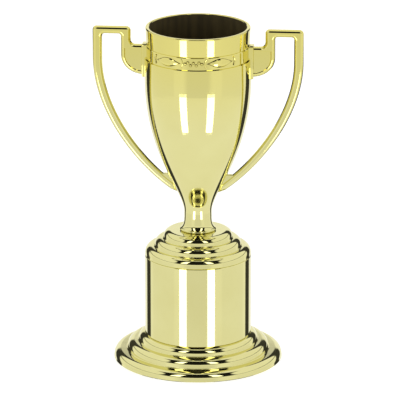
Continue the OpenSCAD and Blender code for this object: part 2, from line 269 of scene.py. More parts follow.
def add(tree, kind, inputs=(), **settings):
    """Adds a node. Each input is a number, a colour or the output of another node."""
    made = tree.nodes.new(kind)
    for key, value in settings.items():
        setattr(made, key, value)
    for key, value in dict(inputs).items():
        if isinstance(value, bpy.types.NodeSocket):
            tree.links.new(value, made.inputs[key])
        else:
            made.inputs[key].default_value = value
    return made


def colour(code):
    """Linear red, green, blue and alpha from a colour such as "e3de9e"."""
    parts = [int(code[i:i + 2], 16) / 255 for i in (0, 2, 4)]
    return [p / 12.92 if p <= 0.04045 else ((p + 0.055) / 1.055) ** 2.4 for p in parts] + [1]


# %% Studio painted on the world
PALE, MIDDLE, GAP, DARK, STRIP = 0.97, 0.83, 0.045, 0.012, 2.6
STRIP_SHIFT = 2.2
# Where each zone begins and ends, in degrees. Each pair is one soft edge.
TABLE_EDGE, GAP_TOP = (18.8, 20.2), (23.0, 22.0)
RING_START, RING_END, RING_TILT = (127.0, 130.0), (149.0, 147.0), 0.3
STRIP_INNER, STRIP_OUTER = (23.0, 25.0), (40.0, 38.0)
STRIP_FOOT, STRIP_HEAD = (28.0, 31.0), (66.0, 61.0)
FLANK_START, FLANK_END, FLANK_SHARE = (50.0, 56.0), (120.0, 114.0), 0.4
SHADE_SIDE, SHADE_FOOT, SHADE_HEAD = (34.0, 20.0), (-20.5, -18.5), (12.0, 4.0)
DARK_BEHIND = (110.0, 130.0)
# The dark area in front: how fast it narrows upwards and sideways, and its soft edges
FRONT_LEAN, FRONT_WIDEN, LEAN_EDGE, FACING_EDGE = 0.547, 0.48, (1.0, 0.955), (0.14, 0.19)
world = bpy.data.worlds.new("studio")
bpy.context.scene.world = world
world.use_nodes = True
sky = world.node_tree
sky.nodes.clear()


def edge(value, low, high):
    """0 below low, 1 above high, with a soft step between."""
    return add(sky, "ShaderNodeMapRange", {0: value, 1: low, 2: high},
               interpolation_type="SMOOTHSTEP").outputs[0]


def calc(operation, *values):
    """Adds a math node and gives its result."""
    return add(sky, "ShaderNodeMath", dict(enumerate(values)), operation=operation).outputs[0]


ray = add(sky, "ShaderNodeTexCoord").outputs["Generated"]
turn = add(sky, "ShaderNodeVectorRotate", {"Vector": ray, "Angle": -CAMERA_TURN},
           rotation_type="Z_AXIS").outputs[0]
axes = add(sky, "ShaderNodeSeparateXYZ", {0: turn}).outputs
rise = calc("DEGREES", calc("ARCSINE", axes[2]))
ahead = calc("MULTIPLY", axes[1], -1.0)
side = calc("DEGREES", calc("ARCTAN2", calc("ABSOLUTE", axes[0]), ahead))
strip_side = calc("ABSOLUTE", calc("ADD", calc("DEGREES", calc("ARCTAN2", axes[0], ahead)),
                                   STRIP_SHIFT))
towards = calc("ADD", calc("MULTIPLY", ahead, math.cos(CAMERA_RISE)),
               calc("MULTIPLY", axes[2], math.sin(CAMERA_RISE)))
away = calc("DEGREES", calc("ARCCOSINE", towards))

across = calc("ABSOLUTE", axes[0])
leaning = calc("ADD", across, calc("MULTIPLY", axes[2], FRONT_LEAN))
facing = calc("ADD", ahead, calc("MULTIPLY", across, FRONT_WIDEN))
above_table = edge(rise, *TABLE_EDGE)
front = calc("MULTIPLY", calc("MULTIPLY", edge(leaning, *LEAN_EDGE), edge(facing, *FACING_EDGE)),
             above_table)
box_gap = calc("MULTIPLY", above_table, edge(rise, *GAP_TOP))
outer = calc("ADD", away, calc("MULTIPLY", calc("MAXIMUM", rise, 0.0), RING_TILT))
ring_gap = calc("MULTIPLY", edge(away, *RING_START), edge(outer, *RING_END))
gaps = calc("MAXIMUM", calc("MAXIMUM", front, box_gap), ring_gap)
pale = calc("SUBTRACT", 1.0, gaps)
strips = calc("MULTIPLY",
              calc("MULTIPLY", edge(strip_side, *STRIP_INNER), edge(strip_side, *STRIP_OUTER)),
              calc("MULTIPLY", edge(rise, *STRIP_FOOT), edge(rise, *STRIP_HEAD)))
flanks = calc("MULTIPLY", edge(side, *FLANK_START), edge(side, *FLANK_END))
shaded = calc("MULTIPLY",
              calc("MAXIMUM", edge(side, *SHADE_SIDE), calc("MULTIPLY", flanks, FLANK_SHARE)),
              calc("MULTIPLY", edge(rise, *SHADE_FOOT), edge(rise, *SHADE_HEAD)))
level = calc("SUBTRACT", PALE, calc("MULTIPLY", shaded, PALE - MIDDLE))
dark = calc("ADD", calc("MULTIPLY", edge(away, *DARK_BEHIND), GAP - DARK), DARK)
light = calc("ADD", calc("ADD", calc("MULTIPLY", pale, level), dark),
             calc("MULTIPLY", strips, STRIP))
shade = add(sky, "ShaderNodeBackground", {"Color": (1, 1, 1, 1), "Strength": light})
add(sky, "ShaderNodeOutputWorld", {"Surface": shade.outputs[0]})
print("studio:", len(sky.nodes), "nodes")

# %% Two strip lights in front, below the edge of the table
STRIP_FAR, STRIP_HALF, STRIP_OUT = 1.0, math.radians(7.7), 30.5
STRIP_TOP, STRIP_LOW = -0.225, -0.685
for name, out in (("strip left", -STRIP_OUT), ("strip right", STRIP_OUT)):
    heading = CAMERA_TURN + math.radians(out - STRIP_SHIFT)
    outward = Vector((math.sin(heading), -math.cos(heading), 0))
    lamp = bpy.data.objects.new(name, bpy.data.lights.new(name, "AREA"))
    bpy.context.scene.collection.objects.link(lamp)
    lamp.data.shape = "RECTANGLE"
    lamp.data.size = 2 * STRIP_FAR * math.tan(STRIP_HALF)
    lamp.data.size_y = STRIP_TOP - STRIP_LOW
    lamp.data.energy = STRIP * 4 * lamp.data.size * lamp.data.size_y
    lamp.location = outward * STRIP_FAR + Vector((0, 0, (STRIP_TOP + STRIP_LOW) / 2))
    lamp.rotation_euler = outward.to_track_quat("Z", "Y").to_euler()
    lamp.visible_camera = False
    print(name, f"{lamp.data.size:.2f} x {lamp.data.size_y:.2f} m, {lamp.data.energy:.2f} W")

# %% [markdown]
# The table and the wall behind are plain and pale. They are for the camera only: the cup mirrors
# the studio above, as it would on a sheet of glass over a light box.

# %% Table and backdrop


def pale_surface(name, glow):
    """A plain pale matt sheet, lit a little from behind like a light table."""
    material = bpy.data.materials.new(name)
    material.use_nodes = True
    tree = material.node_tree
    tree.nodes.clear()
    matt = add(tree, "ShaderNodeBsdfDiffuse", {"Color": (0.6, 0.6, 0.6, 1)})
    lit = add(tree, "ShaderNodeEmission", {"Color": (1, 1, 1, 1), "Strength": glow})
    both = add(tree, "ShaderNodeAddShader", {0: matt.outputs[0], 1: lit.outputs[0]})
    add(tree, "ShaderNodeOutputMaterial", {"Surface": both.outputs[0]})
    return material


bpy.ops.object.select_all(action="DESELECT")
bpy.ops.mesh.primitive_plane_add(size=12, location=(0, 0, 0))
floor = bpy.context.active_object
floor.name = "floor"
floor.data.materials.append(pale_surface("opal table", 0.7))
bpy.ops.object.select_all(action="DESELECT")
bpy.ops.mesh.primitive_cylinder_add(vertices=96, radius=6, depth=12, location=(0, 0, 0))
backdrop = bpy.context.active_object
backdrop.name = "backdrop"
backdrop.data.materials.append(pale_surface("white wall", 1.2))
backdrop.visible_diffuse = False
for sheet in (floor, backdrop):
    sheet.visible_glossy = sheet.visible_shadow = sheet.visible_transmission = False
print("table and backdrop ready")

# %% [markdown]
# ## Gold finish
#
# The mouldings are ABS, plated with metal in a vacuum and lacquered. ABS leaves the mould with a
# faint waviness, so mirrored lights have soft, slightly wandering edges. The lacquer is not
# perfectly even, and handling leaves slightly duller patches. A plain colour with roughness
# would look like paint, so the finish is fully metallic and only varies very little.

# %% Gold


def start(name):
    """A new material with its shader, and its coordinates on the piece."""
    material = bpy.data.materials.new(name)
    material.use_nodes = True
    tree = material.node_tree
    tree.nodes.clear()
    shader = add(tree, "ShaderNodeBsdfPrincipled")
    add(tree, "ShaderNodeOutputMaterial", {"Surface": shader.outputs[0]})
    place = add(tree, "ShaderNodeTexCoord").outputs["Object"]
    return material, tree, shader, place


def noise(tree, place, size, detail=2.0):
    """Cloudy noise whose lumps are about `size` millimetres across."""
    return add(tree, "ShaderNodeTexNoise", {"Vector": place, "Scale": 1 / (size * MM),
                                            "Detail": detail}).outputs["Fac"]


def between(tree, value, low, high):
    """Stretches a 0.3 to 0.7 pattern to run from low to high."""
    return add(tree, "ShaderNodeMapRange", {0: value, 1: 0.3, 2: 0.7, 3: low, 4: high}).outputs[0]


def blend(tree, share, first, second):
    """Mixes two colours by a pattern."""
    return add(tree, "ShaderNodeMix", {0: share, 6: first, 7: second},
               data_type="RGBA").outputs[2]


def relief(tree, height, depth):
    """A bump of that depth in millimetres."""
    return add(tree, "ShaderNodeBump", {"Height": height, "Strength": 1.0,
                                        "Distance": depth * MM}).outputs[0]


# Heights between which the lacquer turns amber, and how far out from the band the painted shade in
# a relief's corners stays full and where it has faded
AMBER_FROM, AMBER_TO, CORNER_SHADE_TO, CORNER_SHADE_OFF = 88, 124, 0.06, 0.2


def gold_plating(name="vacuum-plated gold on moulded ABS", corner_r=None):
    """Pale amber gold. In the corners of a relief round corner_r, dark brown is painted in as
    shade.
    """
    material, tree, shader, place = start(name)
    cloud = noise(tree, place, 14)
    wave = noise(tree, place, 3, 1.0)
    height = add(tree, "ShaderNodeSeparateXYZ", {0: place}).outputs[2]
    amber = add(tree, "ShaderNodeMapRange", {0: height, 1: AMBER_FROM * MM,
                                             2: AMBER_TO * MM, 3: 0.0, 4: 1.0},
                interpolation_type="SMOOTHSTEP").outputs[0]
    even = blend(tree, between(tree, cloud, 0.0, 1.0), colour("e5e09f"), colour("e1db98"))
    lacquer = blend(tree, amber, even, colour("e4da82"))
    if corner_r:
        level_place = add(tree, "ShaderNodeVectorMath", {0: place, 1: (1.0, 1.0, 0.0)},
                          operation="MULTIPLY").outputs[0]
        reach = add(tree, "ShaderNodeVectorMath", {0: level_place},
                    operation="LENGTH").outputs["Value"]
        # Painted shade: close to the band the relief stands on, the gold turns dark brown in place
        # of the shade in the relief's corners.
        corner_unshaded = add(tree, "ShaderNodeMapRange",
                    {0: reach, 1: (corner_r + CORNER_SHADE_TO) * MM, 2: (corner_r + CORNER_SHADE_OFF) * MM,
                     3: 0.0, 4: 1.0}).outputs[0]
        lacquer = blend(tree, corner_unshaded, colour("5a4a17"), lacquer)
    tree.links.new(lacquer, shader.inputs["Base Color"])
    tree.links.new(between(tree, cloud, 0.035, 0.07), shader.inputs["Roughness"])
    tree.links.new(relief(tree, wave, 0.002), shader.inputs["Normal"])
    shader.inputs["Metallic"].default_value = 1.0
    return material


def dark_inside():
    """The inside of the cup: a dull smoky brown coat, dark also as painted shade inside the cup,
    with faint paler upright streaks.
    """
    material, tree, shader, place = start("smoky brown coat and painted shade inside the cup")
    tall = add(tree, "ShaderNodeVectorMath", {0: place, 1: (1.0, 1.0, 0.06)},
               operation="MULTIPLY").outputs[0]
    upright_streaks = noise(tree, tall, 1.6, 3.0)
    tree.links.new(blend(tree, between(tree, upright_streaks, 0.0, 1.0), colour("3a3010"), colour("4f431c")),
                   shader.inputs["Base Color"])
    tree.links.new(between(tree, upright_streaks, 0.5, 0.62), shader.inputs["Roughness"])
    shader.inputs["Metallic"].default_value = 0.0
    return material


def plated_steel():
    """Zinc on steel: cool grey, with cloudy grains of zinc and dull scuffed patches."""
    material, tree, shader, place = start("bright zinc on steel")
    grains = add(tree, "ShaderNodeTexVoronoi",
                 {"Vector": place, "Scale": 1 / (0.7 * MM)}).outputs[0]
    scuffs = noise(tree, place, 2.5, 4.0)
    tone = blend(tree, grains, colour("b9bcbd"), colour("a3a8aa"))
    tree.links.new(blend(tree, between(tree, scuffs, 0.0, 0.6), tone, colour("8f9495")),
                   shader.inputs["Base Color"])
    tree.links.new(between(tree, scuffs, 0.22, 0.45), shader.inputs["Roughness"])
    tree.links.new(relief(tree, scuffs, 0.01), shader.inputs["Normal"])
    shader.inputs["Metallic"].default_value = 1.0
    return material


def turned_brass():
    """Brass bar turned on a lathe: fine rings round the axis and a little brown tarnish."""
    material, tree, shader, place = start("turned brass")
    rings = add(tree, "ShaderNodeTexWave",
                {"Vector": place, "Scale": 1 / (1.2 * MM), "Distortion": 0.6},
                bands_direction="Z").outputs["Fac"]
    tarnish = noise(tree, place, 3.0, 3.0)
    tree.links.new(blend(tree, between(tree, tarnish, 0.0, 0.7), colour("d8b667"),
                         colour("a77f3c")), shader.inputs["Base Color"])
    tree.links.new(between(tree, tarnish, 0.2, 0.4), shader.inputs["Roughness"])
    tree.links.new(relief(tree, rings, 0.01), shader.inputs["Normal"])
    shader.inputs["Metallic"].default_value = 1.0
    return material


def cast_iron():
    """Grey iron as cast: nearly black, grainy from the sand mould, with rust freckles."""
    material, tree, shader, place = start("grey cast iron")
    grain = noise(tree, place, 0.5, 6.0)
    rust = noise(tree, place, 4.0, 5.0)
    tree.links.new(blend(tree, between(tree, rust, -0.8, 0.8), colour("4a4846"), colour("6b4b36")),
                   shader.inputs["Base Color"])
    tree.links.new(between(tree, grain, 0.55, 0.8), shader.inputs["Roughness"])
    tree.links.new(relief(tree, grain, 0.08), shader.inputs["Normal"])
    shader.inputs["Metallic"].default_value = 0.8
    return material


def pressed_board():
    """Hardboard: warm brown pressed fibres, in short pale and dark flecks."""
    material, tree, shader, place = start("brown hardboard")
    flecks = noise(tree, place, 0.6, 6.0)
    patches = noise(tree, place, 9.0, 2.0)
    base = blend(tree, between(tree, patches, 0.0, 1.0), colour("7b5636"), colour("6c4a2d"))
    tree.links.new(blend(tree, between(tree, flecks, 0.0, 0.6), base, colour("a07a51")),
                   shader.inputs["Base Color"])
    tree.links.new(between(tree, flecks, 0.6, 0.8), shader.inputs["Roughness"])
    tree.links.new(relief(tree, flecks, 0.04), shader.inputs["Normal"])
    return material


def green_felt():
    """Pressed wool felt: matted fibres of two greens, a soft nap, and no shine."""
    material, tree, shader, place = start("green wool felt")
    fibres = noise(tree, place, 0.35, 8.0)
    matting = noise(tree, place, 3.0, 4.0)
    base = blend(tree, between(tree, matting, 0.0, 1.0), colour("2f4a2b"), colour("3b5a35"))
    tree.links.new(blend(tree, between(tree, fibres, 0.0, 0.8), base, colour("5d7c53")),
                   shader.inputs["Base Color"])
    tree.links.new(between(tree, fibres, 0.85, 1.0), shader.inputs["Roughness"])
    tree.links.new(relief(tree, fibres, 0.12), shader.inputs["Normal"])
    shader.inputs["Sheen Weight"].default_value = 0.4
    shader.inputs["Sheen Roughness"].default_value = 0.5
    return material


gold = gold_plating()
inside_coat_and_shade = dark_inside()
print("finishes:", gold.name, "and", inside_coat_and_shade.name)

# %% Finishes on the hidden hardware
steel, brass, iron, board = plated_steel(), turned_brass(), cast_iron(), pressed_board()
for finish, names in ((steel, ("handle_push_nuts", "threaded_rod", "clamp_washer", "lock_washer",
                               "clamp_nut")),
                      (brass, ("stem_insert",)), (iron, ("weight",)), (board, ("base_cover",))):
    for name in names:
        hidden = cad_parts[name]
        hidden.data.materials.clear()
        hidden.data.materials.append(finish)
    print(finish.name, "on", ", ".join(names))

# %% [markdown]
# ## Pedestal: foot, column and shoulder
#
# The foot and the shoulder are hollow mouldings with three stepped rings each. Every ring has a
# rounded top edge and a small hollow corner where the next one stands on it. Its side leans out
# a little towards the bottom, as the side of a moulding does. The column is a plain tube that
# spigots locate. Each is one closed outline, drawn round its wall and spun.

# %% Rings
RING_ROUND, RING_FILLET, RING_LEAN, SHELL_WALL = 2.5, 0.3, 0.1, 1.5
COLUMN_WALL, SPIGOT_LEN, SPIGOT_GAP, SPIGOT_WALL = 1.4, 3.0, 0.1, 1.7
ROD_HOLE_R = 2.25
FLOOR_T, COVER_SEAT, LOW_EDGE = 1.8, 1.6, 0.25
SEAM = 0.16
foot_radii, foot_rings = [foot_r, foot_r - 5, foot_r - 9.1], [3.4, 3.3, 2.9]
shoulder_radii, shoulder_rings = [column_r, column_r - 3.5, column_r - 6.8], [3.5, 3.0, 3.0]


def levels(low, heights):
    """The height of the table side and of the top of each ring."""
    found = [low]
    for height in heights:
        found.append(found[-1] + height)
    return found


def ring_outline(radii, steps):
    """Stepped rings from the top down: ledge, rounded edge, upright side, hollow corner."""
    points = []
    for i in (2, 1, 0):
        r, low, high = radii[i], steps[i], steps[i + 1]
        points += arc((r - RING_ROUND - RING_LEAN, high - RING_ROUND), RING_ROUND, RING_ROUND,
                      90, 7, 14)
        if i:
            points += arc((r + RING_FILLET, low + RING_FILLET), RING_FILLET, RING_FILLET,
                          180, 270, 8)
        else:
            points.append((r, low + LOW_EDGE))
    return points


def smooth(piece, degrees=20):
    """Shades a piece smooth, and leaves edges sharper than this crisp."""
    only(piece)
    bpy.ops.object.shade_smooth_by_angle(angle=math.radians(degrees))


def finish_gold(piece, *nodes, finish=gold):
    """Gives a finished moulding its plating and fixes it to the frame."""
    smooth(piece)
    piece.data.materials.clear()
    piece.data.materials.append(finish)
    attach(piece, "root")
    if nodes:
        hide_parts(*nodes)
    report(piece)


bore_r = column_r - COLUMN_WALL
spigot_r = bore_r - SPIGOT_GAP
foot_z = levels(foot_low, foot_rings)
floor_z = foot_z[3] - FLOOR_T
recess_r = foot_r - SHELL_WALL

foot = turned("foot_moulding", [
    (ROD_HOLE_R, foot_z[3]), (spigot_r - SPIGOT_WALL, foot_z[3]),
    (spigot_r - SPIGOT_WALL, foot_z[3] + SPIGOT_LEN), (spigot_r, foot_z[3] + SPIGOT_LEN),
    (spigot_r, foot_z[3]), *ring_outline(foot_radii, foot_z),
    (foot_r - LOW_EDGE, foot_low), (recess_r, foot_low),
    (recess_r, foot_low + COVER_SEAT), (foot_radii[1] - SHELL_WALL, foot_low + COVER_SEAT),
    (foot_radii[1] - SHELL_WALL, foot_z[2] - SHELL_WALL),
    (foot_radii[2] - SHELL_WALL, foot_z[2] - SHELL_WALL),
    (foot_radii[2] - SHELL_WALL, floor_z), (ROD_HOLE_R, floor_z), (ROD_HOLE_R, foot_z[3])])
finish_gold(foot, "foot")

# %% Column
column = turned("column_tube", [
    (column_r - SEAM, column_high), (column_r, column_high - SEAM),
    (column_r, column_low + SEAM), (column_r - SEAM, column_low),
    (bore_r, column_low), (bore_r, column_high), (column_r - SEAM, column_high)])
finish_gold(column, "column")

# %% Shoulder
shoulder_z = levels(column_high, shoulder_rings)
STEM_SPIGOT_R, STEM_SPIGOT_LEN, TOP_PLATE = 4.3, 1.6, 2.8
shoulder = turned("shoulder_moulding", [
    (ROD_HOLE_R, seat_z - STEM_SPIGOT_LEN - SPIGOT_GAP),
    (STEM_SPIGOT_R + SPIGOT_GAP, seat_z - STEM_SPIGOT_LEN - SPIGOT_GAP),
    (STEM_SPIGOT_R + SPIGOT_GAP, seat_z), *ring_outline(shoulder_radii, shoulder_z),
    (column_r - LOW_EDGE, column_high), (spigot_r, column_high),
    (spigot_r, column_high - SPIGOT_LEN), (spigot_r - SPIGOT_WALL, column_high - SPIGOT_LEN),
    (spigot_r - SPIGOT_WALL, shoulder_z[1] - SHELL_WALL),
    (shoulder_radii[1] - SHELL_WALL, shoulder_z[1] - SHELL_WALL),
    (shoulder_radii[1] - SHELL_WALL, shoulder_z[2] - SHELL_WALL),
    (shoulder_radii[2] - SHELL_WALL, shoulder_z[2] - SHELL_WALL),
    (shoulder_radii[2] - SHELL_WALL, seat_z - TOP_PLATE), (ROD_HOLE_R, seat_z - TOP_PLATE),
    (ROD_HOLE_R, seat_z - STEM_SPIGOT_LEN - SPIGOT_GAP)])
finish_gold(shoulder, "shoulder")

# %% [markdown]
# ## Cup
#
# The cup, its collar, its sunk band and its stem are one hollow moulding. Its side leaves the
# wide part upright, narrows in one free curve to the neck, and flares to a small round bead. The
# inside follows the outside at an even wall. One closed outline runs from the hole for the
# threaded insert, up the outside, over the rim and down the inside to the rounded bottom.

# %% Outline of the cup
COLLAR_R, COLLAR_H, COLLAR_FLARE, RIM_ROUND = 19.25, 6.7, 0.28, 0.4
BAND_H, BAND_DEPTH, GROOVE_H, GROOVE_IN = 4.9, 0.3, 0.45, 0.28
TAPER_DROP, FULLNESS, NECK_R, NECK_H, NECK_REACH = 19.0, 0.575, 5.1, 7.0, 0.155
BEAD_R, BEAD_H, FLARE_REACH = 6.7, 1.0, 0.55
BEAD_REACH, BEAD_RISE = 1.6, 0.8
INSERT_R, INSERT_HOLE = 2.9, 6.2
MOUTH_WALL, HOLLOW_FLOOR_R, HOLLOW_FLOOR_H = 1.75, 5.0, 2.4
mouth_r = bowl_r - MOUTH_WALL
collar_z = rim_z - COLLAR_H
band_z = collar_z - BAND_H
taper_z = rim_z - TAPER_DROP
neck_z = seat_z + NECK_H
taper_h, flare_h = taper_z - neck_z, NECK_H - BEAD_H
bead_in = BEAD_R - BEAD_H / 2
band_r, collar_low_r = COLLAR_R - BAND_DEPTH, COLLAR_R - COLLAR_FLARE

flare = bezier([(bead_in, seat_z + BEAD_H), (BEAD_R - BEAD_REACH, neck_z - BEAD_RISE * flare_h),
                (NECK_R, neck_z - FLARE_REACH * flare_h), (NECK_R, neck_z)], 20)
taper = bezier([(NECK_R, neck_z), (NECK_R, neck_z + NECK_REACH * taper_h),
                (bowl_r, taper_z - FULLNESS * taper_h), (bowl_r, taper_z)], 64)
outside = [
    *arc((bead_in, seat_z + BEAD_H / 2), BEAD_H / 2, BEAD_H / 2, -90, 90, 12),
    *flare[1:], *taper[1:],
    (bowl_r, band_z - 0.1), (bowl_r - 0.1, band_z), (band_r, band_z + 0.12),
    (band_r, collar_z - GROOVE_H), (band_r - GROOVE_IN, collar_z - 0.12),
    (band_r - GROOVE_IN, collar_z),
    (collar_low_r - 0.08, collar_z), (collar_low_r, collar_z + 0.08),
    *arc((COLLAR_R - RIM_ROUND, rim_z - RIM_ROUND), RIM_ROUND, RIM_ROUND, 0, 90, 8)]
hollow = [(r - MOUTH_WALL, z) for r, z in taper if r - MOUTH_WALL > HOLLOW_FLOOR_R]
inside = [
    *arc((mouth_r + RIM_ROUND, rim_z - RIM_ROUND), RIM_ROUND, RIM_ROUND, 90, 180, 8),
    *reversed(hollow),
    *arc((0, hollow[0][1]), hollow[0][0], HOLLOW_FLOOR_H, 0, -90, 10)[1:]]
stem_hole = [(0, seat_z + INSERT_HOLE), (INSERT_R, seat_z + INSERT_HOLE),
             (INSERT_R, seat_z - STEM_SPIGOT_LEN), (STEM_SPIGOT_R, seat_z - STEM_SPIGOT_LEN),
             (STEM_SPIGOT_R, seat_z)]
cup = turned("cup_moulding", stem_hole + outside + inside)
print(f"wide part {2 * bowl_r:.1f} mm, neck {2 * NECK_R:.1f} mm, mouth {2 * mouth_r:.1f} mm")

# %% [markdown]
# ## Handles
#
# Each handle is one flat moulding: an arch over a short shelf, a leg that runs down into a
# D-shaped web against the cup, and a long curved limb that comes back to the cup low down. Its
# sides slope a little and then turn into a wide round, so the limb is almost a round bar. It could
# be a tube along a curve, but then the arch, leg and web would need patching in. An outline that
# is filled, pulled out and stepped inwards by small insets gives the whole handle at once, with
# one even edge.
# Only the front half is made, and a mirror makes the back half.

# %% Handle outline
THICK = 2.8
SLOPE, SLOPE_IN, SLOPE_OUT, EDGE_IN = math.radians(69.5), 0.28, 0.75, 1.38
ARCH_W, ARCH_BAR, LEG_W, LIMB_TOP, LIMB_END = 14.0, 2.9, 3.6, 3.5, 3.0
SHELF_DROP, SHELF_GUSSET, WEB_DROP = 7.1, 1.7, 18.6
LIMB_END_OUT = 0.7
LIMB_TOP_DROP, LIMB_PULL_DROP, LIMB_LOW_SHARE, LIMB_LOW_RISE = 13, 31, 0.64, 10.5
LIMB_SUNK, LIMB_SUNK_LOW, WEB_STRAIGHT, WEB_CURVE_OUT = 1.4, 2.4, 4.2, 0.4
LIMB_END_H, CORNER_OUT, CORNER_IN = 16.6, 1.5, 0.9
shelf_z, web_z = rim_z - SHELF_DROP, rim_z - WEB_DROP
leg_x = handle_x - ARCH_W
web_x = leg_x + LEG_W
limb_end_z = seat_z + LIMB_END_H
bar_z = arch_top - ARCH_BAR
limb_in_x = handle_x - LIMB_TOP
web_curve_h = shelf_z - web_z - WEB_STRAIGHT
web_curve_x = bowl_r + WEB_CURVE_OUT


def bowl_r_at(z):
    """The cup's outside radius at a height on its free curve."""
    for (r0, z0), (r1, z1) in zip(taper, taper[1:]):
        if z0 <= z <= z1:
            return r0 + (r1 - r0) * (z - z0) / (z1 - z0)
    return bowl_r


limb_mid = bezier([(handle_x - LIMB_TOP / 2, rim_z - LIMB_TOP_DROP),
                   (handle_x - LIMB_TOP / 2, rim_z - LIMB_PULL_DROP),
                   (LIMB_LOW_SHARE * (handle_x - LIMB_TOP / 2), limb_end_z + LIMB_LOW_RISE),
                   (bowl_r_at(limb_end_z) + LIMB_END_OUT, limb_end_z)], 40)


def limb_edge(side):
    """Points beside the middle of the limb. The limb narrows evenly towards its lower end."""
    points = []
    for i, (x, z) in enumerate(limb_mid):
        before, after = limb_mid[max(i - 1, 0)], limb_mid[min(i + 1, len(limb_mid) - 1)]
        along = Vector(after) - Vector(before)
        half = side * (LIMB_TOP + (LIMB_END - LIMB_TOP) * i / (len(limb_mid) - 1)) / 2
        across = Vector((-along.y, along.x)).normalized() * half
        points.append((x + across.x, z + across.y))
    return points


turn_in = (EDGE_IN - SLOPE_IN) / math.sin(SLOPE)
turn_out = (THICK / 2 - SLOPE_OUT) / (1 - math.cos(SLOPE))
handle_edge = [(SLOPE_IN / 2, SLOPE_OUT / 2), (SLOPE_IN, SLOPE_OUT)]
for i in range(1, 9):
    angle = SLOPE * (1 - i / 8)
    handle_edge.append((SLOPE_IN + turn_in * (math.sin(SLOPE) - math.sin(angle)),
                        SLOPE_OUT + turn_out * (math.cos(angle) - math.cos(SLOPE))))
handle_outline = [
    (bowl_r_at(limb_end_z) - LIMB_SUNK, limb_end_z - LIMB_SUNK_LOW),
    *reversed(limb_edge(1)),
    *arc((handle_x - CORNER_OUT, arch_top - CORNER_OUT), CORNER_OUT, CORNER_OUT, 0, 90, 8),
    *arc((leg_x + CORNER_OUT, arch_top - CORNER_OUT), CORNER_OUT, CORNER_OUT, 90, 180, 8),
    *arc((leg_x - SHELF_GUSSET, shelf_z + SHELF_GUSSET), SHELF_GUSSET, SHELF_GUSSET, 0, -90, 6),
    (mouth_r, shelf_z), (mouth_r, web_z),
    *arc((web_curve_x, web_z + web_curve_h), web_x - web_curve_x, web_curve_h, -90, 0, 16),
    *arc((web_x + CORNER_IN, bar_z - CORNER_IN), CORNER_IN, CORNER_IN, 180, 90, 6),
    *arc((limb_in_x - CORNER_IN, bar_z - CORNER_IN), CORNER_IN, CORNER_IN, 90, 0, 6),
    *limb_edge(-1)]
print("handle outline:", len(handle_outline), "points")

# %% Plates


def plate(name, outline, y=0.0):
    """One flat face from an outline of (x, height) points, facing the front."""
    piece = draw(name, [(x, y, z) for x, z in [*outline, outline[0]]])
    bpy.ops.mesh.remove_doubles(threshold=0.01 * MM)
    bpy.ops.mesh.edge_face_add()
    bpy.ops.object.mode_set(mode="OBJECT")
    if piece.data.polygons[0].normal.y > 0:
        bpy.ops.object.mode_set(mode="EDIT")
        bpy.ops.mesh.select_all(action="SELECT")
        bpy.ops.mesh.flip_normals()
        bpy.ops.object.mode_set(mode="OBJECT")
    return piece


def raise_front(piece, straight, section):
    """Pulls a plate forwards, then insets it step by step along a section of (in, out) points."""
    only(piece)
    bpy.ops.object.mode_set(mode="EDIT")
    bpy.ops.mesh.select_mode(type="FACE")
    bpy.ops.mesh.select_all(action="SELECT")
    bpy.ops.mesh.extrude_region_move(TRANSFORM_OT_translate={"value": (0, -straight * MM, 0)})
    before = (0.0, straight)
    for after in section:
        bpy.ops.mesh.inset(thickness=(after[0] - before[0]) * MM, use_even_offset=True,
                           depth=(after[1] - before[1]) * MM)
        before = after
    bpy.ops.object.mode_set(mode="OBJECT")


def mirror_back(piece):
    """Removes the face in the middle of the thickness and mirrors the front half to the back."""
    only(piece)
    bpy.ops.object.mode_set(mode="EDIT")
    bpy.ops.mesh.select_mode(type="FACE")
    bpy.ops.mesh.select_all(action="DESELECT")
    bpy.ops.object.mode_set(mode="OBJECT")
    for face in piece.data.polygons:
        face.select = abs(face.center.y) < 0.01 * MM and abs(face.normal.y) > 0.9
    bpy.ops.object.mode_set(mode="EDIT")
    bpy.ops.mesh.delete(type="ONLY_FACE")
    bpy.ops.object.mode_set(mode="OBJECT")
    modify(piece, "MIRROR", use_axis=(False, True, False), merge_threshold=0.002 * MM)
    clean(piece)


right_handle = plate("right_handle_moulding", handle_outline)
raise_front(right_handle, 0.04, handle_edge)
mirror_back(right_handle)
report(right_handle)

# %% [markdown]
# The web is thinner than its border, so a D-shaped pocket is cut from each side. The pad that
# beds on the cup and the small web low down are joined on, and the cup's own outside is cut away
# so that the moulding beds on it without a gap.

# %% Web pocket, pad and pegs
WEB_BORDER, WEB_T = 1.6, 2.0
PAD_W, PAD_T, PAD_LIP = 5.4, 0.9, 0.3
PEG_R, PEG_DROP, PEG_STUB, LOW_PEG_R, LOW_PEG_IN = 1.3, 13.5, 1.6, 1.0, 1.1
LOW_PEG_RISE, LOW_PEG_ROOT, HOLE_ROOM = 1.2, 1.6, 0.05

pocket_x = web_x - WEB_BORDER
pocket_low = web_z + WEB_BORDER
pocket_outline = [
    (bowl_r - 1, shelf_z - WEB_BORDER), (pocket_x, shelf_z - WEB_BORDER),
    *arc((web_curve_x, web_z + web_curve_h), pocket_x - web_curve_x, web_curve_h - WEB_BORDER,
         0, -90, 16),
    (bowl_r - 1, pocket_low)]
pocket_middle = Vector((bowl_r, 0, (shelf_z + web_z) / 2)) * MM
for front in (-1, 1):
    pocket = plate("pocket", pocket_outline, -WEB_T / 2)
    only(pocket)
    bpy.ops.object.mode_set(mode="EDIT")
    bpy.ops.mesh.select_mode(type="FACE")
    bpy.ops.mesh.select_all(action="SELECT")
    bpy.ops.mesh.extrude_region_move(TRANSFORM_OT_translate={"value": (0, -1.0 * MM, 0)})
    bpy.ops.transform.resize(value=(1.1, 1, 1.1), center_override=pocket_middle)
    bpy.ops.object.mode_set(mode="OBJECT")
    if front > 0:
        pocket.scale.y = -1
        apply_place(pocket)
    clean(pocket)
    carve(right_handle, pocket)


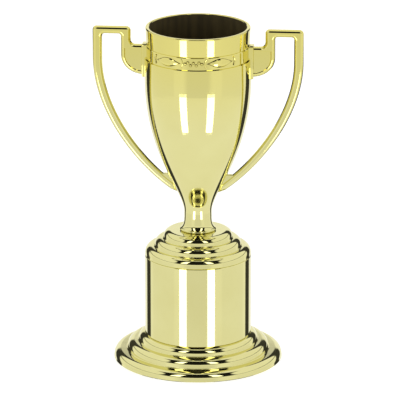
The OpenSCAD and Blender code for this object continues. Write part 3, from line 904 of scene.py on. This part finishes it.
def rounded_block(name, low, high, radius):
    """A block between two corners, with its edges rounded."""
    bpy.ops.object.select_all(action="DESELECT")
    bpy.ops.mesh.primitive_cube_add(size=1)
    piece = bpy.context.active_object
    piece.name = piece.data.name = name
    low, high = Vector(low) * MM, Vector(high) * MM
    piece.location, piece.scale = (low + high) / 2, high - low
    apply_place(piece)
    modify(piece, "BEVEL", width=radius * MM, segments=4, limit_method="ANGLE")
    return piece


def peg(name, radius, low_x, high_x, z):
    """A round peg along X with a small bevel on its ends."""
    bpy.ops.object.select_all(action="DESELECT")
    bpy.ops.mesh.primitive_cylinder_add(vertices=32, radius=radius * MM,
                                        depth=(high_x - low_x) * MM)
    piece = bpy.context.active_object
    piece.name = piece.data.name = name
    piece.rotation_euler = (0, math.pi / 2, 0)
    piece.location = Vector(((low_x + high_x) / 2, 0, z)) * MM
    apply_place(piece)
    modify(piece, "BEVEL", width=0.2 * MM, segments=2, limit_method="ANGLE")
    return piece


pad = rounded_block("pad", (mouth_r, -PAD_W / 2, web_z - PAD_LIP),
                    (bowl_r + PAD_T, PAD_W / 2, shelf_z + PAD_LIP), 0.3)
carve(right_handle, pad, "UNION")
CORNER_WEB_H, CORNER_WEB_W, half_web = 4.8, 3.4, WEB_T / 2
corner_top = limb_end_z + CORNER_WEB_H
corner_web = plate("corner web", [
    (bowl_r_at(limb_end_z) - 1, limb_end_z - 0.5), (bowl_r_at(limb_end_z) + 2, limb_end_z - 0.3),
    (bowl_r_at(corner_top) + CORNER_WEB_W, corner_top), (bowl_r_at(corner_top) - 1, corner_top)])
raise_front(corner_web, half_web - 0.3,
            [(0.04, half_web - 0.15), (0.15, half_web - 0.04), (0.3, half_web)])
mirror_back(corner_web)
carve(right_handle, corner_web, "UNION")

cup_solid = turned("cup solid", [(0, seat_z)] + outside + [(0, rim_z)])
carve(right_handle, cup_solid)
peg_z = rim_z - PEG_DROP
low_peg_z = limb_end_z + LOW_PEG_RISE
low_peg_x = bowl_r_at(low_peg_z) - LOW_PEG_IN
carve(right_handle, peg("peg", PEG_R, mouth_r - PEG_STUB, bowl_r + 0.6, peg_z), "UNION")
carve(right_handle, peg("peg", LOW_PEG_R, low_peg_x, low_peg_x + LOW_PEG_IN + LOW_PEG_ROOT,
                        low_peg_z), "UNION")
clean(right_handle, 0.004)
left_handle = copy_of(right_handle, "left_handle_moulding")
left_handle.scale.x = -1
apply_place(left_handle)
clean(left_handle)
finish_gold(right_handle, "right_handle")
finish_gold(left_handle, "left_handle")

# %% Holes in the cup
for away_x in (-1, 1):
    hole = peg("hole", PEG_R + HOLE_ROOM, mouth_r - 2, bowl_r + 1, peg_z)
    low_hole = peg("hole", LOW_PEG_R + HOLE_ROOM, low_peg_x - HOLE_ROOM, low_peg_x + 3,
                   low_peg_z)
    for tool in (hole, low_hole):
        tool.scale.x = away_x
        apply_place(tool)
        clean(tool)
        carve(cup, tool)
finish_gold(cup, "bowl")
# The inside gets the dark brown coat, which also serves as painted shade inside the cup.
cup.data.materials.append(inside_coat_and_shade)
coated = 0
for face in cup.data.polygons:
    middle = face.center / MM
    reach = math.hypot(middle.x, middle.y)
    if reach < mouth_r + 0.05 and middle.z > hollow[0][1] - HOLLOW_FLOOR_H - 0.1 and (
            face.normal.x * middle.x + face.normal.y * middle.y < 0 or reach < HOLLOW_FLOOR_R):
        face.material_index = 1
        coated += 1
print(coated, "faces coated inside")

# %% [markdown]
# ## Frieze
#
# The sunk band carries a low relief: on each side of the middle a long pointed leaf between two
# upright curved brackets, and a row of beads in the middle. Each shape is modelled once; the leaf
# is modelled flat and bent to the band, and every shape is copied round to the front and the back.

# %% Leaf, bracket and bead
RELIEF_R = band_r + 0.02
LEAF_LEN, LEAF_TALL, LEAF_PROUD = 10.8, 3.3, 0.6
BRACKET_SWEEP, BRACKET_R, BRACKET_WIRE = math.radians(80), 2.5, 0.3
band_middle = (band_z + collar_z) / 2


def settle(piece, length):
    """Bends a flat piece that lies along X to the band, and moves it to the band's front."""
    modify(piece, "SIMPLE_DEFORM", deform_method="BEND", deform_axis="Z", angle=length / RELIEF_R)
    piece.location = Vector((0, -RELIEF_R, band_middle)) * MM
    apply_place(piece)
    clean(piece, 0.002)


def turn_round(piece, degrees, rise=0.0):
    """Turns a piece round the upright axis, and lifts it, in its mesh."""
    piece.rotation_euler = (0, 0, math.radians(degrees))
    piece.location = (0, 0, rise * MM)
    apply_place(piece)
    finish_gold(piece, finish=relief_gold)


# The relief's gold has painted shade in the corners where it meets the band.
relief_gold = gold_plating("vacuum-plated gold with painted corner shade", RELIEF_R)
leaf_half = [(-LEAF_LEN / 2 + LEAF_LEN * i / 28,
              LEAF_TALL / 2 * math.sin(math.pi * i / 28) ** 1.25) for i in range(29)]
leaf = draw("leaf_a", [(x, 0, z) for x, z in leaf_half])
bpy.ops.mesh.spin(steps=8, angle=2 * math.pi, center=(0, 0, 0), axis=(1, 0, 0))
bpy.ops.object.mode_set(mode="OBJECT")
leaf.scale.y = LEAF_PROUD / (LEAF_TALL / 2)
apply_place(leaf)
clean(leaf, 0.002)
settle(leaf, LEAF_LEN)

bpy.ops.object.select_all(action="DESELECT")
bpy.ops.mesh.primitive_circle_add(vertices=16, radius=BRACKET_WIRE * MM, fill_type="NGON",
                                  location=(-BRACKET_R * MM, 0, 0))
bracket = bpy.context.active_object
bracket.name = bracket.data.name = "bracket_a"
apply_place(bracket)
bpy.ops.object.mode_set(mode="EDIT")
bpy.ops.mesh.select_all(action="SELECT")
bpy.ops.transform.rotate(value=-BRACKET_SWEEP / 2, orient_axis="Y", center_override=(0, 0, 0))
bpy.ops.mesh.spin(steps=16, angle=BRACKET_SWEEP, center=(0, 0, 0), axis=(0, 1, 0))
bpy.ops.object.mode_set(mode="OBJECT")
bracket.location = (BRACKET_R * MM, 0, 0)
apply_place(bracket)
report(bracket)

BEAD_DOME = [(0.0, 0.42), (0.16, 0.4), (0.3, 0.32), (0.4, 0.18), (0.46, 0.06), (0.56, 0.0),
             (0.56, -0.1), (0.0, -0.1)]
bead = turned("bead_a", BEAD_DOME, 24)
bead.rotation_euler = (math.pi / 2, 0, 0)
bead.location = Vector((0, -RELIEF_R, band_middle)) * MM
apply_place(bead)
report(leaf)
report(bead)

# %% Frieze round the band
bracket_right = copy_of(bracket, "bracket_b")
bracket_right.scale.x = -1
apply_place(bracket_right)
clean(bracket_right)
for piece in (bracket, bracket_right):
    piece.location = Vector((0, -RELIEF_R - 0.02, band_middle)) * MM
    apply_place(piece)
LEAF_AT, BRACKET_AT, INNER_BRACKET_AT, BEAD_STEP = 30.5, 49.5, 12.5, 3.1
BEAD_LIFTS = ((-3, 0.0), (-2, 0.5), (-1, -0.5), (0, 0.4), (1, -0.5), (2, 0.5), (3, 0.0))
frieze = 0
for side_name, half_turn in (("front", 0), ("back", 180)):
    for way in (-1, 1):
        tag = f"{side_name}_{'left' if way < 0 else 'right'}"
        turn_round(copy_of(leaf, f"leaf_{tag}"), half_turn + way * LEAF_AT)
        outer = bracket if way < 0 else bracket_right
        inner = bracket_right if way < 0 else bracket
        turn_round(copy_of(outer, f"bracket_outer_{tag}"), half_turn + way * BRACKET_AT)
        turn_round(copy_of(inner, f"bracket_inner_{tag}"), half_turn + way * INNER_BRACKET_AT)
        frieze += 3
    for place_no, rise in BEAD_LIFTS:
        turn_round(copy_of(bead, f"bead_{side_name}_{place_no + 4}"),
                   half_turn + place_no * BEAD_STEP, rise)
        frieze += 1
for pattern in (leaf, bracket, bracket_right, bead):
    bpy.data.objects.remove(pattern)
print(frieze, "pieces of relief")

# %% [markdown]
# ## Felt
#
# The trophy stands on a disc of pressed wool felt. Its cut edge is slightly crushed and rounded,
# and its face is uneven by a few hundredths of a millimetre where the fibres are matted. A flat
# disc would show neither, so the disc has rings of points that a cloudy pattern pushes about.

# %% Felt disc
FELT_EDGE, FELT_UNEVEN, FELT_GLUE, FELT_RING, FELT_RINGS = 0.28, 0.07, 0.04, 1.4, 21
felt_top, felt_face_z = felt_high - FELT_GLUE, felt_low + FELT_UNEVEN
felt_round_r = felt_r - FELT_EDGE - 0.05
felt_face = [(felt_r - FELT_EDGE - step * FELT_RING, felt_face_z) for step in range(FELT_RINGS)]
felt = turned("felt_disc", [
    (0, felt_top), (felt_r - FELT_EDGE, felt_top),
    *arc((felt_round_r, felt_top - FELT_EDGE), FELT_EDGE, FELT_EDGE, 80, 0, 5),
    *arc((felt_round_r, felt_face_z + FELT_EDGE), FELT_EDGE, FELT_EDGE, 0, -80, 5),
    *felt_face, (0, felt_face_z)], 120)
matting = bpy.data.textures.new("matted fibres", "CLOUDS")
matting.noise_scale = 2.2 * MM
modify(felt, "DISPLACE", texture=matting, strength=FELT_UNEVEN * MM, mid_level=0.5,
       direction="Z", texture_coords="LOCAL")
clean(felt)
smooth(felt, 40)
felt.data.materials.clear()
felt.data.materials.append(green_felt())
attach(felt, "root")
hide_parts("felt_pad")
report(felt)
